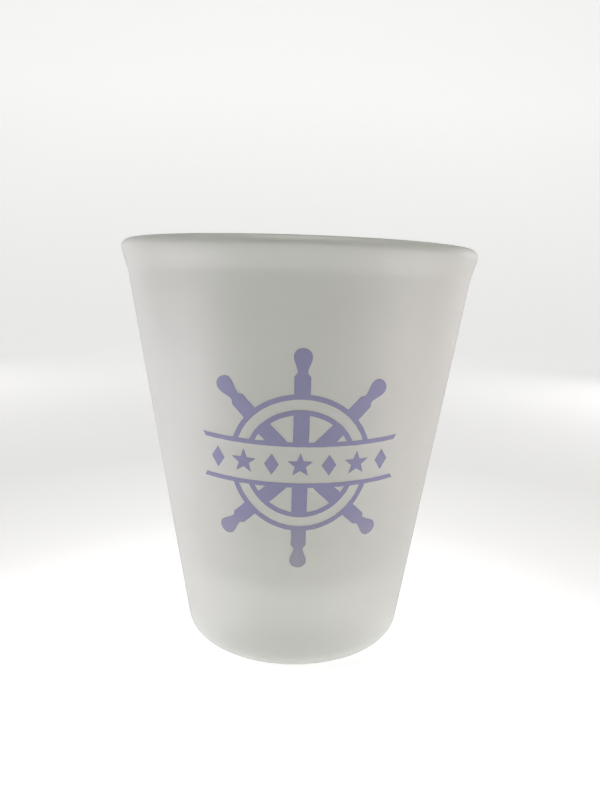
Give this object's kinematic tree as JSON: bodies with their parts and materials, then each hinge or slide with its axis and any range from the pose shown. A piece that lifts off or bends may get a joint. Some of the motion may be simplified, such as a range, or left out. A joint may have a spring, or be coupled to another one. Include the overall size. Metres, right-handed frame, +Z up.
{
  "type": "shot glass",
  "caption": "Tapered shot glass of frosted glass with a heavy base and rounded lip, printed on the front with a ship's wheel and an ornament band.",
  "frame": {"origin": "middle of the foot ring, on the plane that the glass stands on", "axes": "+Z up along the glass's axis, out of its mouth; the printed front faces -Y"},
  "size_m": [0.0506, 0.0506, 0.06],
  "materials": {
    "frosted_glass": "satin frosted, translucent, smooth to the touch",
    "printed_ink": "matt screen-printed enamel ink, slightly translucent"
  },
  "bodies": {
    "root": {"glass_body": "frosted_glass", "print_wheel_upper": "printed_ink", "print_wheel_lower": "printed_ink", "print_lozenge_1": "printed_ink", "print_star_1": "printed_ink", "print_lozenge_2": "printed_ink", "print_star_2": "printed_ink", "print_lozenge_3": "printed_ink", "print_star_3": "printed_ink", "print_lozenge_4": "printed_ink"}
  },
  "joints": []
}
